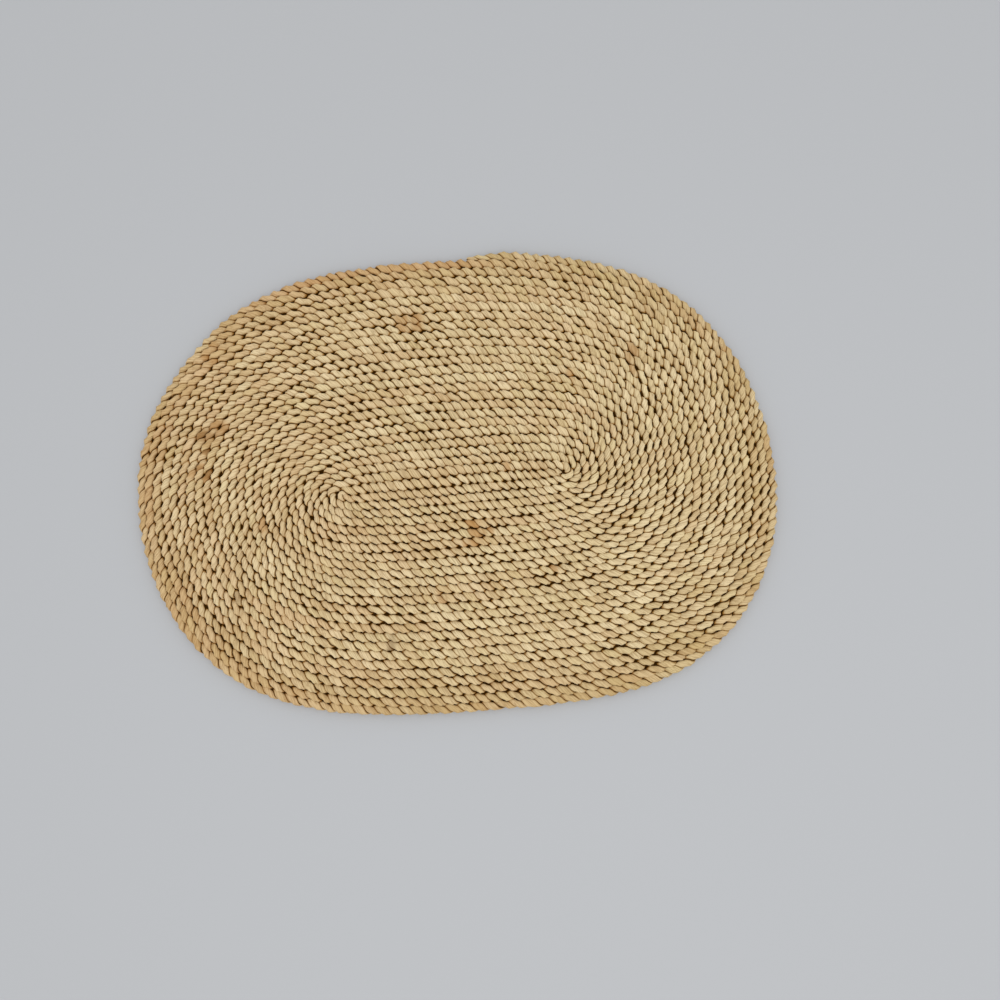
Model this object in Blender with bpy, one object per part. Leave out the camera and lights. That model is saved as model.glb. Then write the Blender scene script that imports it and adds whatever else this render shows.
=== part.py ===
"""Oval placemat, coiled from one long twisted seagrass cord and sewn turn to turn.

The cord starts at the right-hand end of a short straight core, runs along the core to its
left-hand end, and is then wound round it, turn against turn, anticlockwise as seen from
above.  The last turn thins down and is tucked in on the far long side.  The whole mat is
one piece: every turn shows on the upper face as a ridge, the rim is the rounded side of
the last turn, and the underside is flat where the mat rests.

Frame: +X along the mat, +Y away from the diner, +Z up.  The origin lies on the surface
that the mat rests on, under the middle of the mat's box.
"""

import math

import bmesh
import bpy
import numpy
from mathutils import Matrix, Vector

METRES_PER_MM = 0.001

# Driving dimensions, in millimetres.
THICKNESS = 6.8
GROOVE_DEPTH = 1.9
CORE_HALF_LENGTH = 77.4
CORE_CENTRE = Vector((-2.5, -5.1))
TAPER_LENGTH = 42.0
GIVE_LENGTH = 75.0

# The core is turned this much anticlockwise from the mat's long axis.
CORE_TURN = math.radians(3.1)

# How softly the straight sides pass into the round ends, from 0, abrupt, to 1, an oval.
CORE_SOFTNESS = 0.28

# The winding.  A lap share is how far once round the mat a place is, from 0 at the
# right-hand end, anticlockwise, to 1 there again.  The cord ends at one of the steps.
STEPS_PER_TURN = 56
WHOLE_TURNS = 25
END_STEP = 13
TAPERED_WIDTH_SHARE = 0.5

# One turn of the cord seen from its end: the groove inside it and its two shoulders.
SHOULDER = 0.22
TURN_ROWS = (
    # turns_from_crest, groove_share
    (-0.50, 1.0),
    (-SHOULDER, 0.0),
    (SHOULDER, 0.0),
)

# How far the turns reach from the core, out to the rim.
WINDING_DEPTH = (
    # direction_deg, depth_mm
    (0.0, 153.5),
    (22.5, 155.0),
    (45.0, 160.5),
    (67.5, 166.0),
    (90.0, 171.5),
    (112.5, 166.5),
    (135.0, 156.5),
    (157.5, 152.0),
    (180.0, 147.5),
    (202.5, 147.0),
    (225.0, 150.5),
    (247.5, 155.0),
    (270.0, 160.0),
    (292.5, 165.5),
    (315.0, 164.0),
    (337.5, 158.5),
)

# The rounded side of the last turn, from its outer shoulder down to the underside.
ROUNDED_SIDE = (
    # width_share_past_crest, height_share
    (0.36, 0.82),
    (0.50, 0.50),
    (0.38, 0.15),
    (0.12, 0.00),
)

REFERENCE_DEPTH = 110.0
FINE_STEPS = 1440

STRAW_COLOUR = (0.56, 0.42, 0.24, 1.0)
STRAW_ROUGHNESS = 0.85


def clear_scene():
    """Start from an empty scene."""
    for thing in list(bpy.data.objects):
        bpy.data.objects.remove(thing, do_unlink=True)


def core_slide(direction):
    """Place along the core from which the turns reach out in a direction."""
    across = math.cos(direction)
    return CORE_HALF_LENGTH * across / math.hypot(across, CORE_SOFTNESS * math.sin(direction))


def winding_depth(direction):
    """Reach of the turns in a direction, on a smooth curve through the table's rows."""
    count = len(WINDING_DEPTH)
    place = direction / math.tau * count
    row = math.floor(place)
    part = place - row
    before, here, after, beyond = (
        WINDING_DEPTH[(row + step) % count][1] for step in (-1, 0, 1, 2)
    )
    cubic = 3.0 * (here - after) + beyond - before
    square = 2.0 * before - 5.0 * here + 4.0 * after - beyond
    return here + 0.5 * part * (after - before + part * (square + part * cubic))


def lap_directions(count):
    """Directions of the middles of even steps along a middling turn, and a step's length."""
    directions = [math.tau * step / FINE_STEPS for step in range(FINE_STEPS + 1)]
    points = [
        Vector((
            core_slide(direction) + REFERENCE_DEPTH * math.cos(direction),
            REFERENCE_DEPTH * math.sin(direction),
        ))
        for direction in directions
    ]
    lengths = [0.0]
    for before, after in zip(points, points[1:]):
        lengths.append(lengths[-1] + (after - before).length)
    step_length = lengths[-1] / count
    wanted = [step_length * (step + 0.5) for step in range(count)]
    return [float(value) for value in numpy.interp(wanted, lengths, directions)], step_length


class Column:
    """One radial cut through the turns, counted on from the cord's outer end."""

    def __init__(self, steps_past_end, directions, step_length):
        count = len(directions)
        step = (END_STEP + steps_past_end) % count
        past_end = steps_past_end * step_length
        before_end = (count - steps_past_end) * step_length
        self.direction = directions[step]
        self.lap_share = (step + 0.5) / count
        # Turns from the core to the crest of turn 0.
        self.first_crest = (END_STEP + 0.5 + steps_past_end) / count
        # The turns give way on both sides of the cord's end, half a turn's width each.
        give = 0.5 * max(0.0, 1.0 - past_end / GIVE_LENGTH)
        give -= 0.5 * max(0.0, 1.0 - before_end / GIVE_LENGTH)
        turns_to_rim = WHOLE_TURNS - 0.5 + self.first_crest + give
        self.pitch = winding_depth(self.direction) / turns_to_rim
        thinned = (1.0 - TAPERED_WIDTH_SHARE) * max(0.0, 1.0 - before_end / TAPER_LENGTH)
        self.last_width = 1.0 - thinned

    def point(self, turns_out, height):
        """Point that many turns out from the core, at a height."""
        turns_out = max(0.0, turns_out)
        reach = turns_out * self.pitch
        along = core_slide(self.direction) + reach * math.cos(self.direction)
        across = reach * math.sin(self.direction)
        plan = Matrix.Rotation(CORE_TURN, 2) @ Vector((along, across)) + CORE_CENTRE
        return Vector((plan.x, plan.y, height)) * METRES_PER_MM

    def core_height(self):
        """Height on the core line, which the first run of the cord leaves slowly."""
        off_crest = min(self.lap_share, 1.0 - self.lap_share)
        slope = (off_crest - SHOULDER) / (0.5 - SHOULDER)
        return THICKNESS - GROOVE_DEPTH * min(1.0, max(0.0, slope))

    def turn_row(self, turn, turns_from_crest, groove_share):
        """A row on the upper face of a turn."""
        if turn == WHOLE_TURNS - 1:
            return self.last_turn_row(turns_from_crest, groove_share)
        turns_out = self.first_crest + turn + turns_from_crest
        if turns_out <= 0.0:
            return self.point(0.0, self.core_height())
        return self.point(turns_out, THICKNESS - GROOVE_DEPTH * groove_share)

    def last_turn_row(self, turns_from_crest, groove_share):
        """The last turn thins towards its groove as the cord ends."""
        groove = self.first_crest + WHOLE_TURNS - 1.5
        turns_out = groove + (0.5 + turns_from_crest) * self.last_width
        return self.point(turns_out, THICKNESS - GROOVE_DEPTH * groove_share)

    def side_row(self, width_share, height_share):
        """A row on the rounded side of the last turn."""
        groove = self.first_crest + WHOLE_TURNS - 1.5
        turns_out = groove + (0.5 + width_share) * self.last_width
        return self.point(turns_out, height_share * THICKNESS)


class Coil:
    """The mesh under construction, in which points that coincide are one vertex."""

    def __init__(self):
        self.mesh = bmesh.new()
        self.known = {}

    def vertex(self, point):
        key = tuple(round(value, 7) for value in point)
        if key not in self.known:
            self.known[key] = self.mesh.verts.new(point)
        return self.known[key]

    def face(self, corners):
        """Add a face, leaving out corners that fall together."""
        distinct = []
        for corner in corners:
            if corner not in distinct:
                distinct.append(corner)
        if len(distinct) > 2:
            self.mesh.faces.new(distinct)


def coil_rows(coil, columns):
    """Vertices of each row, in each column, from the core line out and down to the base.

    Turn -1 is the cord's start, whose first quarter lap lies inside turn 0.
    """
    rows = []
    for turn in range(-1, WHOLE_TURNS):
        for turns_from_crest, groove_share in TURN_ROWS:
            rows.append([
                coil.vertex(column.turn_row(turn, turns_from_crest, groove_share))
                for column in columns
            ])
    for width_share, height_share in ROUNDED_SIDE:
        rows.append([
            coil.vertex(column.side_row(width_share, height_share)) for column in columns
        ])
    return rows


def build_mat():
    """The coiled mat as one closed mesh."""
    directions, step_length = lap_directions(STEPS_PER_TURN)
    columns = [Column(step, directions, step_length) for step in range(STEPS_PER_TURN)]
    coil = Coil()
    rows = coil_rows(coil, columns)
    rim = len(rows) - len(ROUNDED_SIDE)

    def corner(row, step):
        """Past the last column, a row runs on into the turn that lies outside it."""
        if step < STEPS_PER_TURN:
            return rows[row][step]
        if row >= rim:
            return rows[row][0]
        return rows[min(row + len(TURN_ROWS), rim)][0]

    for row in range(len(rows) - 1):
        for step in range(STEPS_PER_TURN):
            coil.face((
                corner(row, step),
                corner(row + 1, step),
                corner(row + 1, step + 1),
                corner(row, step + 1),
            ))
    coil.face(rows[-1][::-1])

    bmesh.ops.triangulate(coil.mesh, faces=coil.mesh.faces[:])
    mesh = bpy.data.meshes.new("coiled_mat")
    coil.mesh.to_mesh(mesh)
    coil.mesh.free()
    return mesh


def centre_on_box(mesh):
    """Move the mesh so that the origin is under the middle of its box."""
    corners = numpy.array([vertex.co[:] for vertex in mesh.vertices])
    middle = (corners.min(axis=0) + corners.max(axis=0)) / 2.0
    mesh.transform(Matrix.Translation((-middle[0], -middle[1], -corners[:, 2].min())))


def straw_material():
    """Dried leaf cord: pale straw, matt."""
    material = bpy.data.materials.new("twisted_seagrass")
    material.use_nodes = True
    shader = material.node_tree.nodes["Principled BSDF"]
    shader.inputs["Base Color"].default_value = STRAW_COLOUR
    shader.inputs["Roughness"].default_value = STRAW_ROUGHNESS
    shader.inputs["Metallic"].default_value = 0.0
    return material


def main():
    clear_scene()
    collection = bpy.data.collections.new("seagrass_placemat")
    bpy.context.scene.collection.children.link(collection)
    mesh = build_mat()
    centre_on_box(mesh)
    mesh.materials.append(straw_material())
    mesh.shade_smooth()
    collection.objects.link(bpy.data.objects.new("coiled_mat", mesh))


main()
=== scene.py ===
"""Seagrass placemat: the looks of an oval mat coiled from one long twisted cord.

Laid out as a Blender add-on and run as a script.  Everything is in metres, in the frame of
the part's solids: +X along the mat, +Y away from the diner, +Z up, the table at height 0.

Python works out the cord's centre line and what changes along it.  Geometry Nodes sweep the
two strands round that line.  The materials read what both leave on the points as attributes.
"""

import math
from functools import partial

import bmesh
import bpy
import numpy
from mathutils import Matrix, Vector


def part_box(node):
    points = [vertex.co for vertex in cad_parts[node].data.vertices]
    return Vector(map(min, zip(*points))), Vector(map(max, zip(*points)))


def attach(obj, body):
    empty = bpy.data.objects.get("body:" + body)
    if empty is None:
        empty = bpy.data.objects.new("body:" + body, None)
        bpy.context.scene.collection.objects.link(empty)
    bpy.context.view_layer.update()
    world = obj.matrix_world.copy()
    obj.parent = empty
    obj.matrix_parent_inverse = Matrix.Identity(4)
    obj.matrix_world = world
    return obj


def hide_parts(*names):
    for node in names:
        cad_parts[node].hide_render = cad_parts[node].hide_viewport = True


bl_info = {
    "name": "Seagrass placemat",
    "version": (1, 0, 0),
    "blender": (4, 5, 0),
    "location": "View3D > Sidebar > Placemat",
    "description": "Winds an oval placemat from twisted seagrass cord",
    "category": "Add Mesh",
}

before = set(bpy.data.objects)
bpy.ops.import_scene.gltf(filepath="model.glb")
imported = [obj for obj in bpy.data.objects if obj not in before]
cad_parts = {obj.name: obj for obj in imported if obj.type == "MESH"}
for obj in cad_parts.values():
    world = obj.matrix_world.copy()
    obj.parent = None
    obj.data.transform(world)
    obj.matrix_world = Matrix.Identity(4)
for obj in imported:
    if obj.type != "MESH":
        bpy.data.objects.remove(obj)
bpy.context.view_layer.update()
MAT_LOW, MAT_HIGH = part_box("coiled_mat")
MAT_MIDDLE = [(low + high) / 2.0 for low, high in zip(MAT_LOW, MAT_HIGH)]

MM = 0.001

# The winding, as the solid has it.  A lap share is how far once round the mat a place is,
# from 0 at the right-hand end, anticlockwise, to 1 there again.
CORE_HALF_LENGTH = 77.4 * MM
CORE_CENTRE = Vector((-2.5, -5.1)) * MM
CORE_TURN = math.radians(3.1)
CORE_SOFTNESS = 0.28
REFERENCE_DEPTH = 110.0 * MM
WHOLE_TURNS = 25
STEPS_PER_TURN = 56
END_LAP_SHARE = 13.5 / STEPS_PER_TURN
GIVE_LENGTH = 75.0 * MM
TAPER_LENGTH = 42.0 * MM
FINE_STEPS = 1440
RIM_STEPS = 720

# How far the turns reach from the core, at each sixteenth of the way round it.
WINDING_DEPTHS_MM = (
    153.5, 155.0, 160.5, 166.0, 171.5, 166.5, 156.5, 152.0,
    147.5, 147.0, 150.5, 155.0, 160.0, 165.5, 164.0, 158.5,
)

# The cord's strands, and the width of one turn for which their sizes are given.
STRANDS = 2
NOMINAL_TURN = 6.2 * MM

# The cord's line is worked out on this many points, and then put on even ones.
PATH_POINTS = 60000

# The bend at the cord's start: its points, and the path's point that it heads away from.
CURL_POINTS = 60
HEADING_POINT = 40

# The turns at which the cord is off the core, and wholly on it; and the same for the rim.
OFF_AND_ON_CORE = (0.62, 0.5)
OFF_AND_ON_RIM = (24.2, 24.25)

# Shares of the cord's full width, and of its full height where it is thinnest.
START_WIDTH = 0.4
END_WIDTH = 0.4
TIP_WIDTH = 0.2
THIN_HEIGHT = 0.35

# How whole patches of turns stray from an even winding, as a share of the row wander.
STRAY_WAVELENGTHS_MM = (22.0, 31.0, 43.0, 60.0)
STRAY_SHARE = 0.3

# The outermost turns are held to the rim's shape, and stray by only a share of that.
HELD_FULLY_AND_NOT = (24.0, 22.0)
HELD_SHARE = 0.35

# How plump the cord is, how much more so round the mat's ends, and how much more or less at
# the two given places, to the right and to the far side.
PLUMP_EVERYWHERE = 0.3
PLUMP_ROUND_ENDS = 0.45
PLUMP_AT_RIGHT = -0.1
PLUMP_AT_FAR_SIDE = 0.2
TO_RIGHT = 200.0 * MM
TO_FAR_SIDE = 150.0 * MM

# How warm the leaf is.  The outer turns are duller and a little warmer, and a stretch just
# past the cord's outer end is the warmest.
WARM_EVERYWHERE = 0.05
WARM_AT_RIGHT = -0.09
WARM_WHERE_DULL = 0.13
DULL = 0.34
DULL_NOT_AND_FULLY = (19.5, 24.5)
WARM_STRETCH = 0.3
WARM_STRETCH_TURN = 24.29
WARM_STRETCH_NOT_AND_FULLY = (0.1, 0.1 / 3.0)

# The lay lengthens with a power of the turns, and lobes nest from the second turn on.
LAY_POWER = 0.55
NESTING_FROM = 1.2

# What changes along the cord by chance.
NOISES = {
    # name: (seed_step, length_mm, strength)
    "lay": (0, 10.0, 0.16),
    "slow lay": (1, 90.0, 0.05),
    "plump": (2, 35.0, 0.3),
    "warm": (3, 60.0, 0.1),
    "x": (7, 11.0, 0.55),
    "y": (8, 11.0, 0.55),
}

# Seed steps of the draws by which whole patches stray, and of each lobe's traits.
STRAY_SEED_STEPS = {"x": 5, "y": 6}
LOBE_SEED_STEPS = {"width": 3.0, "height": 5.0, "tone": 7.0, "tint": 9.0, "shift": 11.0}

# How unlike the lobes are in height, as a share of how unlike they are in width, and where
# between two lobes their traits change.
HEIGHT_VARIATION_SHARE = 0.6
CHANGE_FROM_AND_TO = (0.3, 0.7)

# How much closer a strand's points lie on the side that shows, and how suddenly the next
# turn stops it.
RING_CROWDING = 0.4
STOP_POWER = 8.0

# The leaf's lumps: their length along a strand, how many lie in its radius, and the step
# between the two strands' own.
LUMP_LENGTH = 4.2 * MM
LUMPS_PER_RADIUS = 0.9
LUMP_STRAND_STEP = 17.3

# Where the rim's outer side still gets the painted shade of a groove, and where it is in the open
# without it.
SHADED_AND_OPEN = (-0.4 * MM, -1.6 * MM)

# The way round a strand, and the step between the strands' patterns.
ROUND_STRAND_MM = 13.0
PATTERN_STRAND_STEP = 31.7

# The leaf's relief and its finish, which goes with the fibre; and where it loses its sheen,
# on the way into a groove and into a dividing line.
CREASE_FROM = 0.86
CREASE_DEPTH_MM = 0.08
FIBRE_HEIGHT_MM = 0.12
FIBRE_LOW_AND_HIGH = (0.3, 0.7)
ROUGHNESS_LOW_AND_HIGH = (0.62, 0.85)
SHEEN = 0.3
SHEEN_LOST_IN_GROOVE = (0.25, 0.6)
SHEEN_LOST_IN_LINE = (0.8 * MM, 0.2 * MM)

# How much a stain differs by lobe and by fibre, and the amount from which it fully does.
STAIN_BY_LOBE = 0.45
STAIN_BY_FIBRE = 0.7
STAIN_EDGE = 0.3

# What changes the leaf's tone.
TONES = (
    # what, its_middle, strength
    ("tone", 0.0, 0.18),
    ("patch", 0.5, 0.55),
    ("fibre", 0.5, 0.25),
)

# What is laid over the leaf's own colour, one after another.  All but the warmth fade in
# smoothly.
LEAF_LAYERS = (
    # by_what, none_at, full_at, strength, colour, blending
    ("tint", 0.3, 1.0, 0.12, "pink_tint", "MIX"),
    ("tint", -0.2, -1.0, 0.22, "green_tint", "MIX"),
    ("fibre", 0.5, 0.25, 0.3, "fibre", "MIX"),
    ("crease", CREASE_FROM, 1.0, 0.4, "crease", "MIX"),
    ("speck", 0.68, 0.78, 0.6, "speck", "MIX"),
    ("warm", 0.0, 1.0, 1.0, "warm", "MIX"),
    ("rust", 0.2, 1.0, 0.62, "rust", "MIX"),
    ("brown", 0.2, 1.0, 0.62, "brown", "MIX"),
    # Painted shade: the leaf is darkened on its way into a groove and beside the line where two
    # strands meet, and made dark brown deep in a groove and on that line.
    ("sunken", 0.28, 0.68, 1.0, "slope", "MULTIPLY"),
    ("from_seam", 1.3 * MM, 0.3 * MM, 0.7, "slope", "MULTIPLY"),
    ("sunken", 0.56, 0.88, 1.0, "groove", "MIX"),
    ("from_seam", 0.54 * MM, 0.06 * MM, 0.9, "dividing_line", "MIX"),
)

# Where the leaf is stained: fully to 0.6 of the radius, and not at all from 1.6 of it.
STAIN_NOT_AND_FULLY = (1.6, 0.6)
STAINS = (
    # x_mm, y_mm, radius_mm, rust, brown
    (-177, 32, 8, 1.0, 0.75),
    (-171, 42, 6, 0.9, 0.35),
    (-182, 8, 6, 0.7, 0.3),
    (-190, -50, 6, 0.4, 0.0),
    (-176, 98, 7, 0.55, 0.2),
    (-154, -80, 5, 0.3, 0.5),
    (-141, -31, 6, 0.35, 0.1),
    (-101, 67, 6, 0.6, 0.2),
    (-63, 61, 5, 0.3, 0.35),
    (-49, -115.5, 3.6, 0.2, 0.9),
    (-37, 115, 6, 0.75, 0.0),
    (-26, 114, 6, 0.6, 0.2),
    (-12, -82, 6, 0.65, 0.1),
    (13, -43, 9, 0.9, 0.1),
    (24, 1, 3.2, 0.35, 0.1),
    (36, 1.5, 3.2, 0.4, 0.1),
    (48, 2, 3.2, 0.45, 0.15),
    (64, -73, 5, 0.4, 0.1),
    (86, 69, 4.5, 0.45, 0.05),
    (129, 70, 4.5, 0.4, 0.1),
    (131, 84, 6, 0.5, 0.25),
    (197, 79, 6, 0.5, 0.2),
)


# ---- Settings


def linear(hex_colour):
    """Linear colour of an sRGB hex value, with alpha."""
    channels = [int(hex_colour[i:i + 2], 16) / 255.0 for i in (1, 3, 5)]
    return [
        value / 12.92 if value <= 0.04045 else ((value + 0.055) / 1.055) ** 2.4
        for value in channels
    ] + [1.0]


def number_setting(name, description, default, **kind):
    """A setting that is a number, with its unit or subtype if it has one."""
    return bpy.props.FloatProperty(name=name, description=description, default=default, **kind)


def length_setting(name, description, millimetres):
    """A setting that is a length, with its default in millimetres."""
    return number_setting(name, description, millimetres * MM, unit="LENGTH")


def place_setting(name, description, millimetres):
    """A setting that is a place, with its default in millimetres."""
    return bpy.props.FloatVectorProperty(name=name, description=description,
                                         default=[value * MM for value in millimetres],
                                         size=len(millimetres), unit="LENGTH")


def colour_setting(name, description, hex_colour):
    """A setting that is a colour, with its default as an sRGB hex value."""
    return bpy.props.FloatVectorProperty(name=name, description=description,
                                         default=linear(hex_colour), size=4,
                                         min=0.0, max=1.0, subtype="COLOR")


class PlacematCord(bpy.types.PropertyGroup):
    """How the cord is laid and wound."""

    point_spacing: length_setting(
        "Point spacing", "Distance between the points of the cord's centre line", 1.15)
    lay_length: length_setting(
        "Lay length", "Length in which a strand goes once round the cord, at the cord's start",
        11.8)
    outer_lay_length: length_setting(
        "Outer lay length", "Length in which a strand goes once round the cord, at the rim",
        16.9)
    plump_gap: number_setting(
        "Plump gap", "Share by which the turns keep apart where the cord is plump", 0.05,
        subtype="FACTOR")
    row_wander: length_setting("Row wander", "How far the turns stray from an even winding", 0.45)
    nest_pull: number_setting(
        "Nest pull", "How strongly the lobes of a turn settle between those inside it", 0.08)
    curl_length: length_setting(
        "Curl length", "Length of the cord's start that is bent round into the mat's middle",
        4.5)
    curl_radius: length_setting("Curl radius", "Radius of that bend", 2.6)
    start_taper: length_setting(
        "Start taper", "Length over which the cord comes to its full width", 10.0)
    end_cut: length_setting(
        "End cut", "How far before the end of the solid's winding the cord stops", 13.0)
    end_taper: length_setting(
        "End taper", "Length over which the cord thins to its outer end", 26.0)
    end_rounding: length_setting("End rounding", "Length over which the outer end is closed", 3.5)
    rim_inset: number_setting(
        "Rim inset", "Share of a turn by which the rim is drawn in", 0.07, subtype="FACTOR")
    seed: bpy.props.IntProperty(name="Seed", description="Seed of the variation", default=11)


class PlacematStrands(bpy.types.PropertyGroup):
    """Sizes of a strand, all inputs of its node tree.

    Some are given twice, for pressed and for plump stretches of the cord.
    """

    sideways_offset: length_setting(
        "Sideways offset", "How far a strand's middle swings out towards the neighbouring turns",
        1.35)
    upwards_offset: length_setting(
        "Upwards offset", "How far a strand's middle swings up and down", 1.25)
    side_reach: length_setting(
        "Reach at the side",
        "Size of a strand outwards from its middle, where it passes between turns", 2.25)
    face_reach: length_setting(
        "Reach at the face",
        "Size of a strand outwards from its middle, on the faces of the mat", 2.1)
    inner_reach: length_setting(
        "Inner reach",
        "Size of a strand from its middle towards the strand that it is laid with", 1.6)
    corner_reach: length_setting(
        "Corner reach", "How much more a strand reaches out halfway between a face and a side",
        1.25)
    corner_width: length_setting(
        "Corner width", "How much wider half a strand is halfway between a face and a side", 0.1)
    side_limit: length_setting(
        "Side limit", "How far from the cord's middle a strand is stopped by the next turn", 3.6)
    rim_limit: length_setting("Rim limit", "The side limit on the rim's outer side", 3.3)
    overlap: length_setting(
        "Overlap", "How much further each turn reaches outwards, over the next, than inwards",
        0.45)
    strand_width: length_setting(
        "Strand width", "Half a strand's size across, on the faces of the mat", 2.45)
    plump_strand_width: length_setting(
        "Plump strand width", "The strand width where the cord is plump", 2.2)
    strand_height: length_setting(
        "Strand height", "Half a strand's height where it passes between turns", 3.0)
    face_height: length_setting(
        "Face height", "Height of the faces above and below the cord's middle", 3.35)
    pressed_from: length_setting(
        "Pressed from", "Height of an unpressed strand's top, which is pressed down to the face",
        3.6)
    lean: number_setting(
        "Lean", "Slope by which the outer side of each turn lies higher than its inner side",
        0.36)
    squareness: number_setting(
        "Squareness", "Power of a strand's section: 2 is an oval, and more is squarer", 2.4)
    plump_squareness: number_setting(
        "Plump squareness", "The squareness where the cord is plump", 2.2)
    inner_squareness: number_setting(
        "Inner squareness", "The squareness of the side that lies against the other strand", 4.0)
    pressing: number_setting("Pressing", "How flat the faces are pressed, from 1, not at all", 1.3)
    plump_pressing: number_setting("Plump pressing", "The pressing where the cord is plump", 1.05)
    lingering: number_setting(
        "Lingering", "Share by which a strand turns more slowly on a face, and faster between",
        0.25)
    plump_lingering: number_setting(
        "Plump lingering", "The lingering where the cord is plump", 0.3)
    size_variation: number_setting(
        "Size variation", "How unlike the lobes are in size", 0.18, subtype="FACTOR")
    lobe_shift: length_setting("Lobe shift", "How far lobes lie to the side of their place", 0.3)
    lumps: length_setting("Lumps", "How uneven the leaf is", 0.5)


class PlacematSeams(bpy.types.PropertyGroup):
    """Sizes of the pressed middles of the turns."""

    groove_height: length_setting(
        "Groove height", "Half the thickness of the mat's middle between two turns", 0.7)
    crest_height: length_setting(
        "Crest height", "How much more half the thickness is in the middle of a turn", 0.5)


class PlacematColours(bpy.types.PropertyGroup):
    """Colours of the leaf, of the painted shade in its grooves and seams, and of the table, as
    linear values.
    """

    dark_straw: colour_setting("Dark straw", "The darker leaf", "#c0a675")
    pale_straw: colour_setting("Pale straw", "The paler leaf", "#ecdbb3")
    pink_tint: colour_setting("Pink tint", "Tint of some lobes", "#deb48a")
    green_tint: colour_setting("Green tint", "Tint of other lobes", "#d3c084")
    fibre: colour_setting("Fibre", "The darker fibres in a leaf", "#a5824a")
    crease: colour_setting("Crease", "The creases along a leaf", "#7d5a2b")
    speck: colour_setting("Speck", "Small specks on the leaf", "#6f4a20")
    warm: colour_setting("Warm leaf", "Leaf that has turned warmer", "#b4753a")
    rust: colour_setting("Rust stain", "The stains of the rusty kind", "#a46a10")
    brown: colour_setting("Brown stain", "The stains of the brown kind", "#64400f")
    # Painted shade, not the leaf's own colour: what the leaf is multiplied by on its way into a
    # groove, the dark brown deep in a groove, and the dark on the line where two strands meet.
    slope: colour_setting(
        "Slope", "What the leaf is multiplied by on its way into a groove", "#cfab68")
    groove: colour_setting("Groove", "The leaf deep in a groove", "#2b1700")
    dividing_line: colour_setting("Dividing line", "The leaf where two strands meet", "#3f2706")
    # Painted shade: the pressed leaf between the turns shows only deep in the seams, and its dark
    # browns stand for the shade there.
    dark_seam: colour_setting("Dark seam", "The darker pressed leaf between the turns", "#1c0e01")
    pale_seam: colour_setting("Pale seam", "The paler pressed leaf between the turns", "#432a08")
    table: colour_setting("Table", "The table", "#b3b5b8")


class PlacematStage(bpy.types.PropertyGroup):
    """The camera as the photo has it, and soft light from a window and a white room."""

    lens: number_setting("Lens", "Focal length of the camera", 27.72, unit="CAMERA")
    tilt: number_setting(
        "Tilt", "How far the camera looks off the plumb line", math.radians(8.0),
        subtype="ANGLE")
    turn: number_setting(
        "Turn", "How far the camera is turned clockwise over the mat", math.radians(2.52),
        subtype="ANGLE")
    foot: place_setting(
        "Foot", "Place of the camera over the table, before the turn", (30.9, -95.2))
    height: length_setting("Height", "Height of the camera over the table", 548.4)
    room_light: number_setting("Room light", "Brightness of the white room", 0.9)
    window_power: number_setting(
        "Window power", "Power of the light from the window", 4.0, unit="POWER")
    window_size: length_setting("Window size", "Width of the light from the window", 1200.0)
    window_place: place_setting(
        "Window place", "Place of the light from the window", (150.0, -350.0, 1100.0))


# ---- The winding


def ramp(values, zero_at, one_at):
    """0 at one value and 1 at another, straight between them and level past them."""
    return numpy.clip((values - zero_at) / (one_at - zero_at), 0.0, 1.0)


def core_slide(direction):
    """Place along the core from which the turns reach out in a direction."""
    across = numpy.cos(direction)
    return CORE_HALF_LENGTH * across / numpy.hypot(across, CORE_SOFTNESS * numpy.sin(direction))


def winding_depth(direction):
    """Reach of the turns in a direction, on a smooth curve through the given depths."""
    depths = numpy.array(WINDING_DEPTHS_MM) * MM
    count = len(depths)
    place = direction / math.tau * count
    row = numpy.floor(place).astype(int)
    part = place - row
    before, here, after, beyond = (depths[(row + step) % count] for step in (-1, 0, 1, 2))
    cubic = 3.0 * (here - after) + beyond - before
    square = 2.0 * before - 5.0 * here + 4.0 * after - beyond
    return here + 0.5 * part * (after - before + part * (square + part * cubic))


def reference_lap():
    """Directions once round the mat, and the running length of a middling turn."""
    directions = numpy.linspace(0.0, math.tau, FINE_STEPS + 1)
    along = core_slide(directions) + REFERENCE_DEPTH * numpy.cos(directions)
    across = REFERENCE_DEPTH * numpy.sin(directions)
    steps = numpy.hypot(numpy.diff(along), numpy.diff(across))
    return directions, numpy.concatenate(([0.0], numpy.cumsum(steps)))


LAP_DIRECTIONS, LAP_LENGTHS = reference_lap()
LAP_LENGTH = float(LAP_LENGTHS[-1])


def since_and_before_end(lap_share):
    """Lap shares since a place was past the cord's outer end, and until it is there again."""
    since_end = (lap_share - END_LAP_SHARE) % 1.0
    return since_end, 1.0 - since_end


def coil_plan(lap_share, turns_out):
    """Plan positions that many turns from the core, and the width of a turn there."""
    direction = numpy.interp(lap_share * LAP_LENGTH, LAP_LENGTHS, LAP_DIRECTIONS)
    since_end, before_end = since_and_before_end(lap_share)
    # The turns give way on both sides of the cord's end, half a turn's width each.
    give = 0.5 * ramp(since_end * LAP_LENGTH, GIVE_LENGTH, 0.0)
    give -= 0.5 * ramp(before_end * LAP_LENGTH, GIVE_LENGTH, 0.0)
    turns_to_rim = WHOLE_TURNS - 0.5 + END_LAP_SHARE + since_end + give
    pitch = winding_depth(direction) / turns_to_rim
    reach = turns_out * pitch
    along = core_slide(direction) + reach * numpy.cos(direction)
    across = reach * numpy.sin(direction)
    turn_cos, turn_sin = math.cos(CORE_TURN), math.sin(CORE_TURN)
    x = along * turn_cos - across * turn_sin + CORE_CENTRE.x
    y = along * turn_sin + across * turn_cos + CORE_CENTRE.y
    return numpy.stack((x, y), axis=-1), pitch


def rim_turns(lap_share):
    """Turns from the core to the rim."""
    since_end, before_end = since_and_before_end(lap_share)
    taper = 0.5 * ramp(before_end * LAP_LENGTH, TAPER_LENGTH, 0.0)
    return WHOLE_TURNS - 0.5 + END_LAP_SHARE + since_end - taper


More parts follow.
